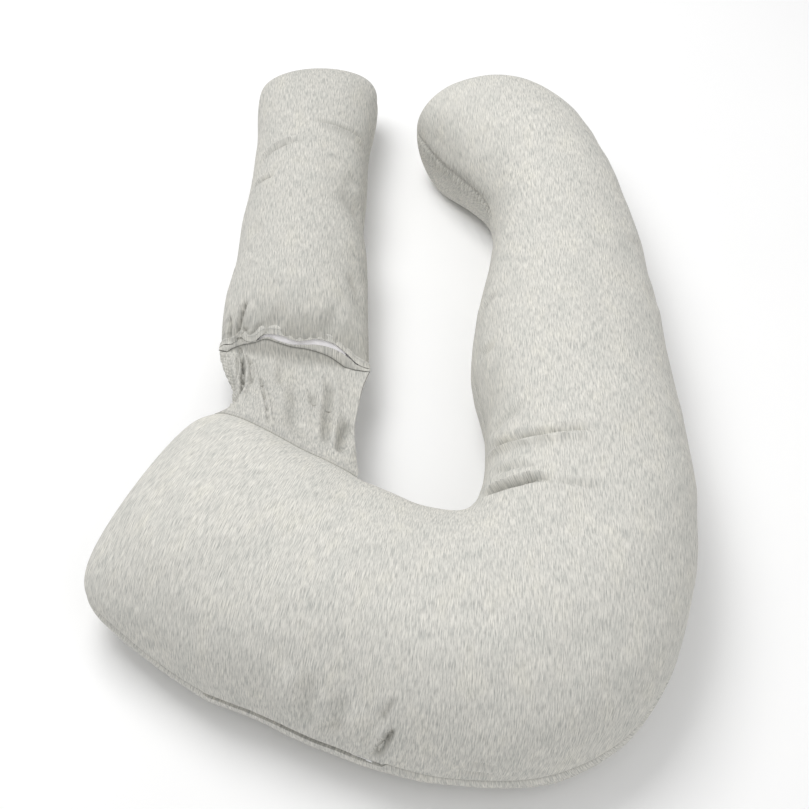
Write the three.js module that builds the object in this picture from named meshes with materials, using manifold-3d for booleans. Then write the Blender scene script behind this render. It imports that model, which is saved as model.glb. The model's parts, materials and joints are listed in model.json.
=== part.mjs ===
// Nursing pillow: a stuffed hook-shaped main pillow, a flat link panel sewn to its far edge, and a small
// bolster at the end of the panel. Millimetres, +Z up, +Y along the bolster and the long arm.
import * as THREE from "three";
import Module from "manifold-3d";

const wasm = await Module();
wasm.setup();

// ---- Driving dimensions ----
const coverThickness = 2.4; // double-knit jersey, drawn thick enough to hold as a solid
const caseThickness = 1.6; // inner cushion case
const layerGap = 2.2; // slack between cover, case and filling
const seamGap = 0.15; // each cover half stops this far from the seam plane
const mainSeamHeight = 84;
const bolsterSeamHeight = 62;
const zipHeight = 56; // the near seam sags below the middle, and the zip runs along it
const zipTravel = 172;
const windowHalf = 5.2; // half height of the zip opening in the cover
const panelSheet = 1.4; // one fabric layer of the link panel
const panelSeamHeight = 130; // where the panel is sewn to the main pillow
const hemWidth = 12;
const restBlend = 4; // how softly the underside turns into the flat that rests on the floor

// Ribs of the main pillow from the hook tip, down the long arm, round the corner, to the blunt end.
// Each rib is [concave-side x, y, convex-side x, y, crown height, seam height on the convex side].
const mainRibs = [
  [12, 442, 22, 502, 150, 80],
  [42, 408, 78, 531, 158, 80],
  [82, 363, 150, 541, 164, 81],
  [106, 325, 214, 505, 168, 82],
  [113, 279, 250, 442, 170, 84],
  [110, 232, 275, 354, 172, 84],
  [99, 176, 294, 262, 173, 84],
  [86, 112, 306, 168, 174, 84],
  [80, 55, 314, 78, 176, 84],
  [87, 0, 321, -8, 178, 84],
  [94, -50, 326, -95, 180, 84],
  [90, -110, 323, -182, 184, 82],
  [81, -148, 306, -278, 186, 76],
  [70, -164, 274, -362, 188, 68],
  [58, -170, 220, -428, 188, 62],
  [42, -170, 140, -464, 188, 58],
  [22, -166, 44, -464, 188, zipHeight],
  [0, -158, -26, -446, 188, zipHeight],
  [-40, -136, -88, -419.33, 188, zipHeight],
  [-74, -106, -150, -392.67, 187, zipHeight],
  [-114, -82.5, -212, -366, 186, zipHeight],
  [-154, -59, -266, -330, 184, 58],
  [-190, -38, -314, -290, 181, 62],
  [-226, -24, -350, -258, 176, 68],
  [-241, -19, -364, -238, 174, 72],
];

// Ribs of the bolster from its mouth to its far end, [left x, y, right x, y, crown, seam height].
const bolsterRibs = [
  [-226, 98, -42, 64, 124, bolsterSeamHeight],
  [-224, 160, -45, 140, 128, bolsterSeamHeight],
  [-215, 230, -47, 226, 132, bolsterSeamHeight],
  [-211, 300, -53, 300, 132, bolsterSeamHeight],
  [-204, 373, -51, 373, 130, bolsterSeamHeight],
  [-200, 449, -48, 449, 128, bolsterSeamHeight],
  [-202, 520, -39, 520, 126, bolsterSeamHeight],
  [-204, 588, -36, 588, 124, bolsterSeamHeight],
];

// ---- Closed bodies from points ----
class Body {
  constructor() {
    this.points = [];
    this.faces = [];
    this.known = new Map();
  }
  vertex(p) {
    const key = p.map((c) => Math.round(c * 2000)).join(",");
    if (!this.known.has(key)) {
      this.known.set(key, this.points.length);
      this.points.push(p);
    }
    return this.known.get(key);
  }
  triangle(a, b, c) {
    if (a !== b && b !== c && c !== a) this.faces.push([a, b, c]);
  }
  quad(a, b, c, d) {
    this.triangle(a, b, c);
    this.triangle(a, c, d);
  }
  // A sheet of rows of points; flipped sheets face the other way.
  sheet(rows, flipped) {
    const id = rows.map((row) => row.map((p) => this.vertex(p)));
    for (let i = 0; i + 1 < id.length; i++)
      for (let j = 0; j + 1 < id[i].length; j++) {
        const corners = [id[i][j], id[i + 1][j], id[i + 1][j + 1], id[i][j + 1]];
        if (flipped) corners.reverse();
        this.quad(...corners);
      }
  }
  // A wall between the borders of two sheets with the same number of rows and columns.
  rim(outer, inner) {
    const border = (rows) => {
      const last = rows.length - 1;
      const end = rows[0].length - 1;
      const down = rows.map((row) => row[0]);
      const across = rows[last].slice(1, end);
      const up = rows.map((row) => row[end]).reverse();
      const back = rows[0].slice(1, end).reverse();
      return [...down, ...across, ...up, ...back];
    };
    const a = border(outer).map((p) => this.vertex(p));
    const b = border(inner).map((p) => this.vertex(p));
    a.forEach((_, k) => {
      const next = (k + 1) % a.length;
      this.quad(a[next], a[k], b[k], b[next]);
    });
  }
  solid() {
    const build = () =>
      new wasm.Manifold(
        new wasm.Mesh({
          numProp: 3,
          vertProperties: new Float32Array(this.points.flat()),
          triVerts: new Uint32Array(this.faces.flat()),
        }),
      );
    const made = build();
    if (made.volume() > 0) return made;
    this.faces.forEach((f) => f.reverse());
    return build();
  }
}

function thickSheet(front, back) {
  const body = new Body();
  body.sheet(front, false);
  body.sheet(back, true);
  body.rim(front, back);
  return body.solid();
}

// ---- Stuffed shapes ----
// Smooth rows through the given rows.
function spline(rows, steps) {
  const mirror = (a, b) => a.map((v, k) => 2 * v - b[k]);
  const n = rows.length;
  const all = [mirror(rows[0], rows[1]), ...rows, mirror(rows[n - 1], rows[n - 2])];
  const out = [];
  for (let i = 1; i < n; i++)
    for (let k = 0; k < steps; k++) {
      const t = k / steps;
      const [a, b, c, d] = [all[i - 1], all[i], all[i + 1], all[i + 2]];
      out.push(
        b.map((v, j) => {
          const slope = -a[j] + c[j];
          const bend = 2 * a[j] - 5 * v + 4 * c[j] - d[j];
          const twist = -a[j] + 3 * v - 3 * c[j] + d[j];
          return 0.5 * (2 * v + slope * t + bend * t * t + twist * t ** 3);
        }),
      );
    }
  out.push(rows[n - 1]);
  return out;
}

const roundPower = (x, power) => Math.sign(x) * Math.abs(x) ** power;

// 0 at an end, 1 once past the cap; a higher power gives a blunter end.
function cap(distance, { length, power }) {
  if (length === 0) return 1;
  const x = Math.min(Math.max(distance / length, 0), 1);
  return (1 - (1 - x) ** power) ** (1 / power);
}

// A stuffed shape lofted over ribs. at(u, phi, side, depth) is the point a share u along it and phi over
// its upper (side 1) or lower (side -1) half, on the layer that lies depth inside the outer face; slit
// is its distance from the seam plane.
class Stuffed {
  constructor(ribs, seamHeight, ends) {
    this.seam = seamHeight;
    this.ends = ends;
    this.rows = spline(ribs, 16);
    this.lengths = [0];
    // Lengths run between the middle and the long convex side, so that bends get enough rows.
    const middle = ([ix, iy, ox, oy]) => [0.25 * ix + 0.75 * ox, 0.25 * iy + 0.75 * oy];
    for (let i = 1; i < this.rows.length; i++) {
      const [ax, ay] = middle(this.rows[i - 1]);
      const [bx, by] = middle(this.rows[i]);
      this.lengths.push(this.lengths[i - 1] + Math.hypot(bx - ax, by - ay));
    }
    this.length = this.lengths[this.lengths.length - 1];
  }
  rib(distance) {
    const found = this.lengths.findIndex((v) => v >= distance);
    const i = Math.max(found < 0 ? this.rows.length - 1 : found, 1);
    const span = this.lengths[i] - this.lengths[i - 1];
    const t = Math.min(Math.max((distance - this.lengths[i - 1]) / span, 0), 1);
    return this.rows[i].map((v, k) => this.rows[i - 1][k] * (1 - t) + v * t);
  }
  at(u, phi, side, depth, slit = 0) {
    const { start, end } = this.ends;
    const distance = depth + u * (this.length - 2 * depth);
    const fromStart = distance - depth;
    const fromEnd = this.length - depth - distance;
    const [ix, iy, ox, oy, crown, outerSeam] = this.rib(distance);
    const half = Math.hypot(ox - ix, oy - iy) / 2;
    const wide = cap(fromStart, start.width) * cap(fromEnd, end.width);
    const tall = cap(fromStart, start.height) * cap(fromEnd, end.height);
    const share = (roundPower(Math.cos(phi), 2 / 2.1) * wide * (half - depth)) / half;
    const up = Math.abs(Math.sin(phi));
    const seam = this.seam + ((outerSeam - this.seam) * (1 + share)) / 2;
    const top = seam + (crown - seam - depth) * tall * up ** (2 / 2.1);
    const low = seam - (seam - depth) * 1.22 * tall * up ** (2 / 2.5);
    const rested = depth + restBlend * Math.log(1 + Math.exp((low - depth) / restBlend)); // flat on the floor
    return [
      (ix + ox) / 2 + ((ox - ix) / 2) * share,
      (iy + oy) / 2 + ((oy - iy) / 2) * share,
      side > 0 ? Math.max(top, seam + slit) : Math.min(rested, seam - slit),
    ];
  }
  // Shares along the length, packed closer near both ends.
  stations(count) {
    return Array.from({ length: count + 1 }, (_, i) => {
      const x = i / count;
      return x - (Math.sin(2 * Math.PI * x) / (2 * Math.PI)) * 0.86;
    });
  }
  // Angles round the section, packed closer near the seam.
  angles(around) {
    return Array.from({ length: around + 1 }, (_, j) => {
      const x = j / around;
      return Math.PI * x - 0.2 * Math.sin(2 * Math.PI * x);
    });
  }
  grid(depth, side, count, around, from = 0) {
    return this.stations(count).map((u) =>
      this.angles(around).map((phi) => this.at(from + u * (1 - from), phi, side, depth, seamGap)),
    );
  }
  // One half of a cover or case: side 1 is above the seam, side -1 below it.
  half(depth, thickness, side, count, around, from = 0) {
    return thickSheet(
      this.grid(depth, side, count, around, from),
      this.grid(depth + thickness, side, count, around, from),
    );
  }
  filling(depth, count, around) {
    const body = new Body();
    const angles = this.angles(around);
    const back = angles.slice(0, -1).reverse();
    const whole = this.stations(count).map((u) => [
      ...angles.map((phi) => this.at(u, phi, 1, depth)),
      ...back.map((phi) => this.at(u, phi, -1, depth)),
    ]);
    body.sheet(whole, false);
    return body.solid();
  }
}

const mainShape = new Stuffed(mainRibs, mainSeamHeight, {
  start: { width: { length: 80, power: 2.3 }, height: { length: 95, power: 2.2 } },
  end: { width: { length: 70, power: 4.2 }, height: { length: 140, power: 2 } },
});
const bolsterShape = new Stuffed(bolsterRibs, bolsterSeamHeight, {
  start: { width: { length: 0, power: 1 }, height: { length: 90, power: 1.6 } },
  end: { width: { length: 55, power: 3.4 }, height: { length: 75, power: 2.2 } },
});
const caseDepth = coverThickness + layerGap;
const fillDepth = caseDepth + caseThickness + layerGap;
const mainCount = 40;
const mainAround = 10;
const bolsterCount = 20;
const bolsterAround = 8;

// ---- Zip fastener in the near long seam ----
// The zip line runs along the straight stretch of the seam; its frame has x along the zip, y outward, z up.
const zipStart = new THREE.Vector3(-36, -441.7, zipHeight);
const zipAlong = new THREE.Vector3(-186, 80, 0).normalize();
const zipOut = new THREE.Vector3(-zipAlong.y, zipAlong.x, 0);
const zipFrame = new THREE.Matrix4().makeBasis(zipAlong, zipOut, new THREE.Vector3(0, 0, 1)).setPosition(zipStart);

function solidOf(geometry) {
  const body = new Body();
  const flat = geometry.index ? geometry.toNonIndexed() : geometry;
  const at = flat.getAttribute("position");
  for (let i = 0; i < at.count; i += 3) {
    const corner = (k) => body.vertex([at.getX(i + k), at.getY(i + k), at.getZ(i + k)]);
    body.triangle(corner(0), corner(1), corner(2));
  }
  return body.solid();
}
function block(x0, x1, y0, y1, z0, z1) {
  const box = new THREE.BoxGeometry(x1 - x0, y1 - y0, z1 - z0);
  box.translate((x0 + x1) / 2, (y0 + y1) / 2, (z0 + z1) / 2);
  return solidOf(box);
}
const placed = (solid) => solid.transform(zipFrame.elements);
const union = (solids) => solids.reduce((a, b) => a.add(b));

const tapePlane = -5.2; // tapes lie just behind the cover
const zipLength = zipTravel + 30;
const zipFirst = -9;
const zipLast = zipFirst + zipLength;

const zipWindow = placed(block(zipFirst - 3, zipLast + 3, -14, 6, -windowHalf, windowHalf));
const zipPocket = placed(block(zipFirst - 5, zipLast + 5, -10, 6, -13, 13));

function zipTape(side) {
  const inner = side * 3.2;
  const outer = side * 9;
  const [z0, z1] = [Math.min(inner, outer), Math.max(inner, outer)];
  return placed(block(zipFirst, zipLast, tapePlane - 0.4, tapePlane + 0.4, z0, z1));
}
function zipCoil(side) {
  const [z0, z1] = side > 0 ? [0.6, 2.9] : [-2.9, -0.6];
  return placed(block(zipFirst + 3.5, zipLast - 3.5, tapePlane - 1.2, tapePlane + 1.2, z0, z1));
}
function zipStop(x0, x1) {
  return placed(block(x0, x1, tapePlane - 1.3, tapePlane + 1.3, -2.9, 2.9));
}

const sliderHalfLength = 5;
const sliderHalfHeight = 4.6;
const plateInner = 1.6; // clear of the coil
const plateOuter = 3.0;
const pullAxis = tapePlane + plateOuter + 1.15;
const pullLength = 22;

function sliderBody() {
  const [l, h] = [sliderHalfLength, sliderHalfHeight];
  const plates = [-1, 1].map((side) => {
    const [a, b] = [tapePlane + side * plateInner, tapePlane + side * plateOuter];
    return block(-l, l, Math.min(a, b), Math.max(a, b), -h, h);
  });
  const flanges = [-1, 1].flatMap((side) =>
    [-1, 1].map((end) => {
      const y = [tapePlane + side * 0.75, tapePlane + side * (plateInner + 0.1)].sort((a, b) => a - b);
      const z = [end * (h - 0.9), end * h].sort((a, b) => a - b);
      return block(-l, l, y[0], y[1], z[0], z[1]);
    }),
  );
  const divider = block(-l, -l + 2.2, tapePlane - plateInner - 0.1, tapePlane + plateInner + 0.1, -0.3, 0.3);
  const bridgeFoot = tapePlane + plateOuter - 0.1;
  const bridgeTop = pullAxis + 1.9;
  const bridge = [
    block(-3, -1.9, bridgeFoot, bridgeTop, -1.2, 1.2),
    block(1.9, 3, bridgeFoot, bridgeTop, -1.2, 1.2),
    block(-3, 3, bridgeTop - 0.9, bridgeTop, -1.2, 1.2),
  ];
  return placed(union([...plates, ...flanges, divider, ...bridge]));
}

function pullTab() {
  const pin = new THREE.CylinderGeometry(0.6, 0.6, 5.2, 16);
  pin.rotateX(Math.PI / 2);
  pin.translate(0, pullAxis, 0);
  const legs = [-1, 1].map((side) => {
    const z = [side * 1.6, side * 2.6].sort((a, b) => a - b);
    return block(-0.6, 4.2, pullAxis - 0.6, pullAxis + 0.6, z[0], z[1]);
  });
  const outline = new THREE.Shape();
  outline.moveTo(4, -2.6);
  outline.lineTo(pullLength - 3.4, -3.4);
  outline.absarc(pullLength - 3.4, 0, 3.4, -Math.PI / 2, Math.PI / 2, false);
  outline.lineTo(4, 2.6);
  outline.closePath();
  const hole = new THREE.Path();
  hole.absarc(pullLength - 5, 0, 1.5, 0, 2 * Math.PI, true);
  outline.holes.push(hole);
  const tab = new THREE.ExtrudeGeometry(outline, { depth: 1.2, bevelEnabled: false, curveSegments: 10 });
  tab.rotateX(Math.PI / 2);
  tab.translate(0, pullAxis + 0.6, 0);
  return placed(union([solidOf(pin), ...legs, solidOf(tab)]));
}

// ---- Link panel between the main pillow and the bolster ----
// Straight sewn line on the main pillow and straight mouth line at the bolster, left to right.
const sewnLeft = new THREE.Vector3(-213, -39.4, panelSeamHeight);
const sewnRight = new THREE.Vector3(-53, -129.4, panelSeamHeight);
const mouthLeft = new THREE.Vector3(-222, 92, bolsterSeamHeight);
const mouthRight = new THREE.Vector3(-40, 58, bolsterSeamHeight);

// A point of the panel's middle plane: u left to right, v from the sewn line to the mouth.
function panelPoint(u, v) {
  const from = sewnLeft.clone().lerp(sewnRight, u);
  const to = mouthLeft.clone().lerp(mouthRight, u);
  const away = new THREE.Vector3(0.48, 0.88, 0).multiplyScalar(150);
  const leave = away.clone().setZ(-96);
  const arrive = away.clone().setZ(-34);
  const [a, b] = [2 * v ** 3 - 3 * v ** 2 + 1, v ** 3 - 2 * v ** 2 + v];
  const [c, d] = [-2 * v ** 3 + 3 * v ** 2, v ** 3 - v ** 2];
  const p = from.multiplyScalar(a).addScaledVector(leave, b).addScaledVector(to, c).addScaledVector(arrive, d);
  const waist = Math.sin(Math.PI * v) ** 1.5;
  p.x += waist * (1 - u) ** 2 * 15 - waist * u ** 3 * 11; // the elastic edge pulls the left side in
  p.z += waist * 1.6 * Math.sin(9 * u) * (1 - u);
  return p;
}
function panelLayer(low, high, from = 0, to = 1, across = 14, along = 12, vFrom = 0, vTo = 1) {
  const rows = (lift) =>
    Array.from({ length: along + 1 }, (_, i) =>
      Array.from({ length: across + 1 }, (_, j) => {
        const u = from + ((to - from) * j) / across;
        const v = vFrom + ((vTo - vFrom) * i) / along;
        const p = panelPoint(u, v);
        return [p.x, p.y, p.z + lift];
      }),
    );
  return thickSheet(rows(high), rows(low));
}

// Hem bands along the two lips of the bolster's mouth.
const mouthShare = 14 / bolsterShape.length; // the upper lip starts this far up the bolster
function upperHem() {
  const first = mouthShare;
  const last = mouthShare + (hemWidth - 0.4) / bolsterShape.length;
  const rows = (depth) =>
    [first, (first + last) / 2, last].map((u) =>
      Array.from({ length: bolsterAround * 2 + 1 }, (_, j) => {
        const phi = Math.PI * (0.04 + (0.92 * j) / (bolsterAround * 2));
        return bolsterShape.at(u, phi, 1, depth);
      }),
    );
  return thickSheet(rows(-0.6), rows(coverThickness));
}
function lowerHem() {
  const lean = (lift, push) =>
    [0, 0.5, 1].map((w) =>
      Array.from({ length: 13 }, (_, j) => {
        const u = 0.03 + (0.94 * j) / 12;
        const p = mouthLeft.clone().lerp(mouthRight, u);
        const bow = Math.sin(Math.PI * u);
        return [p.x + 1 * push, p.y + 0.6 + 5 * w + 2.2 * push, p.z + 3.2 + w * hemWidth * bow ** 0.5 + lift];
      }),
    );
  return thickSheet(lean(0, 0), lean(0, 1));
}

// ---- Assembly ----
const jersey = { color: 0xcdccc7, roughness: 0.92, metalness: 0 };
const whiteCloth = { color: 0xf1eef1, roughness: 0.85, metalness: 0 };
const fibre = { color: 0xf7f6f2, roughness: 1, metalness: 0 };
const tapeCloth = { color: 0xe4e3e0, roughness: 0.8, metalness: 0 };
const nylon = { color: 0xeeeeee, roughness: 0.45, metalness: 0 };
const metal = { color: 0xe9e9ea, roughness: 0.35, metalness: 0.1 };
const elastic = { color: 0xd9d8d4, roughness: 0.8, metalness: 0 };

const group = new THREE.Group();
group.name = "nursing_pillow";

function add(name, solid, look) {
  const mesh = solid.getMesh();
  const points = new Float32Array(mesh.numVert * 3);
  for (let i = 0; i < mesh.numVert; i++)
    for (let k = 0; k < 3; k++) points[3 * i + k] = mesh.vertProperties[i * mesh.numProp + k];
  const geometry = new THREE.BufferGeometry();
  geometry.setAttribute("position", new THREE.BufferAttribute(points, 3));
  geometry.setIndex(new THREE.BufferAttribute(new Uint32Array(mesh.triVerts), 1));
  geometry.computeVertexNormals();
  const made = new THREE.Mesh(geometry, new THREE.MeshStandardMaterial(look));
  made.name = name;
  group.add(made);
}

const mainHalf = (depth, thickness, side) => mainShape.half(depth, thickness, side, mainCount, mainAround);
const bolsterHalf = (depth, thickness, side, from = 0) =>
  bolsterShape.half(depth, thickness, side, bolsterCount, bolsterAround, from);

add("main_cover_top", mainHalf(0, coverThickness, 1).subtract(zipWindow), jersey);
add("main_cover_bottom", mainHalf(0, coverThickness, -1).subtract(zipWindow), jersey);
add("main_insert_case_top", mainHalf(caseDepth, caseThickness, 1).subtract(zipPocket), whiteCloth);
add("main_insert_case_bottom", mainHalf(caseDepth, caseThickness, -1).subtract(zipPocket), whiteCloth);
add("main_fibre_fill", mainShape.filling(fillDepth, mainCount, mainAround).subtract(zipPocket), fibre);
add("zip_tape_upper", zipTape(1), tapeCloth);
add("zip_tape_lower", zipTape(-1), tapeCloth);
add("zip_coil_upper", zipCoil(1), nylon);
add("zip_coil_lower", zipCoil(-1), nylon);
add("zip_top_stop", zipStop(zipFirst, zipFirst + 3), nylon);
add("zip_bottom_stop", zipStop(zipLast - 3, zipLast), nylon);
add("zip_slider", sliderBody(), metal);
add("zip_pull_tab", pullTab(), metal);

add("link_panel_top", panelLayer(0.6, 0.6 + panelSheet), jersey);
add("link_panel_bottom", panelLayer(-0.6 - panelSheet, -0.6), jersey);
add("link_gather_elastic", panelLayer(-0.3, 0.3, 0, 0.04, 1, 12, 0.14, 0.95), elastic);

const upperFrom = (16 + hemWidth) / bolsterShape.length;
add("bolster_cover_top", bolsterHalf(0, coverThickness, 1, upperFrom), jersey);
add("bolster_cover_bottom", bolsterHalf(0, coverThickness, -1), jersey);
add("bolster_insert_case_top", bolsterHalf(caseDepth + 0.5, caseThickness, 1), whiteCloth);
add("bolster_insert_case_bottom", bolsterHalf(caseDepth + 0.5, caseThickness, -1), whiteCloth);
add("bolster_fibre_fill", bolsterShape.filling(fillDepth + 0.5, bolsterCount, bolsterAround), fibre);
add("mouth_hem_upper", upperHem(), jersey);
add("mouth_hem_lower", lowerHem(), jersey);

// The frame's origin is under the middle of the whole pillow's box.
group.position.set(11.3, -60.9, 0);
export default group;
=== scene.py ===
"""Looks of the nursing pillow: stuffed jersey covers, white inserts, a gathered link panel and a zip."""

import json
import math

import bpy
import numpy as np
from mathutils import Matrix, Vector, noise


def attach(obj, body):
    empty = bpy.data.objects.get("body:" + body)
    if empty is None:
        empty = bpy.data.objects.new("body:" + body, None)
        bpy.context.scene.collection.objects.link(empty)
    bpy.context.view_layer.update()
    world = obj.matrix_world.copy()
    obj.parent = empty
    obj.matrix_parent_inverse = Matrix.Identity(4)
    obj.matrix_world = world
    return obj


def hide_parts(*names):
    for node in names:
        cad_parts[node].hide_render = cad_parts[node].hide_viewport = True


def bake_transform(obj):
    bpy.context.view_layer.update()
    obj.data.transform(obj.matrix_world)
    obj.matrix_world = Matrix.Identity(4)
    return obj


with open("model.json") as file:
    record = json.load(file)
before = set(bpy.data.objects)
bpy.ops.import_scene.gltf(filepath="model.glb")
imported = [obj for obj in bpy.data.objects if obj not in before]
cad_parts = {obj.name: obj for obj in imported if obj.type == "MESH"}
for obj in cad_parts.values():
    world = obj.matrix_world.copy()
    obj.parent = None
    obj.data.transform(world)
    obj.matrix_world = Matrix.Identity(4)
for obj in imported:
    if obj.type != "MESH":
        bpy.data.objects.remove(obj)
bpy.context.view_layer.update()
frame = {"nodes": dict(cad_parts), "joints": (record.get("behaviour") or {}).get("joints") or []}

# ---- Driving dimensions, in metres and in the part's own frame ----
PLAN = np.array([0.0113, -0.0609])  # from the plan that the ribs are drawn in to the part's frame
SEAM_HEIGHT = 0.084
BOLSTER_SEAM = 0.062
CROWN_POWER = 2.1  # how square the section is above the seam: 2 is an ellipse
UNDER_POWER = 2.5  # and below the seam
UNDER_DROP = 1.22  # the lower half would hang this much deeper than the floor, which flattens it
FLOOR_BEND = 0.004  # how softly it meets the floor
FLOOR_GAP = 0.0004
COVER = 0.0024
COVER_PADDING = 0.0050  # what a cover is thicker by, away from its edges
INSERT_DEPTH = 0.0115
ZIP_HEIGHT = 0.056
ZIP_LIP = 0.0039  # half of the opening that shows the zip
SEWN_SLIT = 0.00015  # half of the gap between covers that are sewn together
GROOVE_WIDTH = 0.0045
# Painted shade along the seams: how wide, and how dark.
SEAM_SHADE_WIDTH = 0.0016
SEAM_PAINTED_SHADE = 0.28
# Painted shade above the bolster's mouth: how dark at the lip, and how far up it fades.
MOUTH_SHADE = 0.30
MOUTH_SHADE_REACH = 0.052
GATHER_PITCH = 0.0072
SHEET_THICKNESS = 0.0013
SHARP_EDGE = math.radians(55)

# Ribs of the main pillow, in mm: concave side x, y, convex side x, y, crown height, and the height
# of the seam on the convex side.
MAIN_RIBS = [
    [12, 442, 22, 502, 150, 80],
    [42, 408, 78, 531, 158, 80],
    [82, 363, 150, 541, 164, 81],
    [106, 325, 214, 505, 168, 82],
    [113, 279, 250, 442, 170, 84],
    [110, 232, 275, 354, 172, 84],
    [99, 176, 294, 262, 173, 84],
    [86, 112, 306, 168, 174, 84],
    [80, 55, 314, 78, 176, 84],
    [87, 0, 321, -8, 178, 84],
    [94, -50, 326, -95, 180, 84],
    [90, -110, 323, -182, 184, 82],
    [81, -148, 306, -278, 186, 76],
    [70, -164, 274, -362, 188, 68],
    [58, -170, 220, -428, 188, 62],
    [42, -170, 140, -464, 188, 58],
    [22, -166, 44, -464, 188, 56],
    [0, -158, -26, -446, 188, 56],
    [-40, -136, -88, -419.33, 188, 56],
    [-74, -106, -150, -392.67, 187, 56],
    [-114, -82.5, -212, -366, 186, 56],
    [-154, -59, -266, -330, 184, 58],
    [-190, -38, -314, -290, 181, 62],
    [-226, -24, -350, -258, 176, 68],
    [-241, -19, -364, -238, 174, 72],
]
BOLSTER_RIBS = [
    [-226, 98, -42, 64, 124, 62],
    [-224, 160, -45, 140, 128, 62],
    [-215, 230, -47, 226, 132, 62],
    [-211, 300, -53, 300, 132, 62],
    [-204, 373, -51, 373, 130, 62],
    [-200, 449, -48, 449, 128, 62],
    [-202, 520, -39, 520, 126, 62],
    [-197, 588, -36, 588, 124, 62],
]


def spline(rows, steps):
    """Rows through the given rows, smoothly (Catmull-Rom)."""
    rows = np.asarray(rows, float)
    padded = np.vstack([2 * rows[0] - rows[1], rows, 2 * rows[-1] - rows[-2]])
    t = (np.arange(steps) / steps)[:, None]
    out = []
    for a, b, c, d in zip(padded, padded[1:], padded[2:], padded[3:]):
        bend = 2 * a - 5 * b + 4 * c - d
        twist = -a + 3 * b - 3 * c + d
        out.append(0.5 * (2 * b + (c - a) * t + bend * t**2 + twist * t**3))
    return np.vstack([*out, rows[-1:]])


def cap(distance, length, power):
    """Share of the full width or height near a rounded end."""
    if length == 0:
        return np.ones_like(distance)
    x = np.clip(distance / length, 0, 1)
    return (1 - (1 - x) ** power) ** (1 / power)


def smooth(x, low, high):
    """0 at low, 1 at high, level at both."""
    t = np.clip((x - low) / (high - low), 0, 1)
    return t * t * (3 - 2 * t)


def run_along(points, axis=0):
    """How far each point of a line or grid is from the first one, along the given axis."""
    steps = np.linalg.norm(np.diff(points, axis=axis), axis=-1)
    start = np.zeros_like(np.take(points[..., 0], [0], axis=axis))
    return np.concatenate([start, np.cumsum(steps, axis=axis)], axis=axis)


def unit(v):
    return v / np.maximum(np.linalg.norm(v, axis=-1, keepdims=True), 1e-12)


class Stuffed:
    """A stuffed shape lofted over ribs, the same as the CAD solid's."""

    def __init__(self, ribs, seam, start, end, hand=1):
        rows = spline(ribs, 16) / 1000
        rows[:, 0:2] += PLAN
        rows[:, 2:4] += PLAN
        middle = 0.25 * rows[:, 0:2] + 0.75 * rows[:, 2:4]
        self.lengths = run_along(middle)
        self.length = self.lengths[-1]
        self.rows, self.seam, self.start, self.end = rows, seam, start, end
        # 1 where the convex side is on the left of the way along it, -1 where it is on the right
        self.hand = hand

    def at(self, distance, phi, side, depth=0.0, slit=0.0):
        """Points at distances along it and angles over its upper (side 1) or lower (side -1) half."""
        distance, phi = np.broadcast_arrays(distance, phi)
        row = np.stack([np.interp(distance, self.lengths, c) for c in self.rows.T], -1)
        ix, iy, ox, oy, crown, outer = np.moveaxis(row, -1, 0)
        half = np.hypot(ox - ix, oy - iy) / 2
        first, last = distance - depth, self.length - depth - distance
        wide = cap(first, *self.start["width"]) * cap(last, *self.end["width"])
        tall = cap(first, *self.start["height"]) * cap(last, *self.end["height"])
        c = np.cos(phi)
        share = np.sign(c) * np.abs(c) ** (2 / CROWN_POWER) * wide * (half - depth) / half
        up = np.abs(np.sin(phi))
        seam = self.seam + (outer - self.seam) * (1 + share) / 2
        if side > 0:
            z = seam + np.maximum((crown - seam - depth) * tall * up ** (2 / CROWN_POWER), slit)
        else:
            low = seam - (seam - depth) * UNDER_DROP * tall * up ** (2 / UNDER_POWER)
            z = depth + FLOOR_BEND * np.log1p(np.exp((low - depth) / FLOOR_BEND))
            z = np.minimum(z, seam - slit)
        x = (ix + ox) / 2 + (ox - ix) / 2 * share
        y = (iy + oy) / 2 + (oy - iy) / 2 * share
        return np.stack([x, y, z], -1)


main_shape = Stuffed(
    MAIN_RIBS,
    SEAM_HEIGHT,
    {"width": (0.080, 2.3), "height": (0.095, 2.2)},
    {"width": (0.070, 4.2), "height": (0.140, 2)},
)
bolster_shape = Stuffed(
    BOLSTER_RIBS,
    BOLSTER_SEAM,
    {"width": (0, 1), "height": (0.090, 1.6)},
    {"width": (0.055, 3.4), "height": (0.075, 2.2)},
    -1,
)


# ---- Meshes from grids of points ----
def grid_normals(points):
    du = np.gradient(points, axis=0)
    dv = np.gradient(points, axis=1)
    return unit(np.cross(du, dv))


def make(name, points, faces, material, attributes=None):
    """A piece with one material, and a number or vector at each point for each attribute."""
    mesh = bpy.data.meshes.new(name)
    mesh.from_pydata(points.tolist(), [], faces)
    for key, values in (attributes or {}).items():
        kind = "FLOAT_VECTOR" if values.ndim == 2 else "FLOAT"
        layer = mesh.attributes.new(key, kind, "POINT")
        field = "vector" if kind == "FLOAT_VECTOR" else "value"
        layer.data.foreach_set(field, values.astype(np.float32).ravel())
    mesh.shade_smooth()
    mesh.set_sharp_from_angle(angle=SHARP_EDGE)
    mesh.update()
    piece = bpy.data.objects.new(name, mesh)
    bpy.context.scene.collection.objects.link(piece)
    piece.data.materials.append(material)
    return piece


def clean(face):
    """The face without repeated corners, or None where fewer than three are left."""
    kept = [v for k, v in enumerate(face) if v != face[k - 1]]
    return kept if len(kept) > 2 else None


def weld(points, faces, attributes):
    """Merges points that lie at the same place, such as those of a cap's pole."""
    keys = np.round(points / 2e-6).astype(np.int64)
    _, first, inverse = np.unique(keys, axis=0, return_index=True, return_inverse=True)
    inverse = inverse.reshape(-1)
    faces = [f for f in (clean([int(inverse[v]) for v in face]) for face in faces) if f]
    return points[first], faces, {k: v[first] for k, v in attributes.items()}


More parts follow.
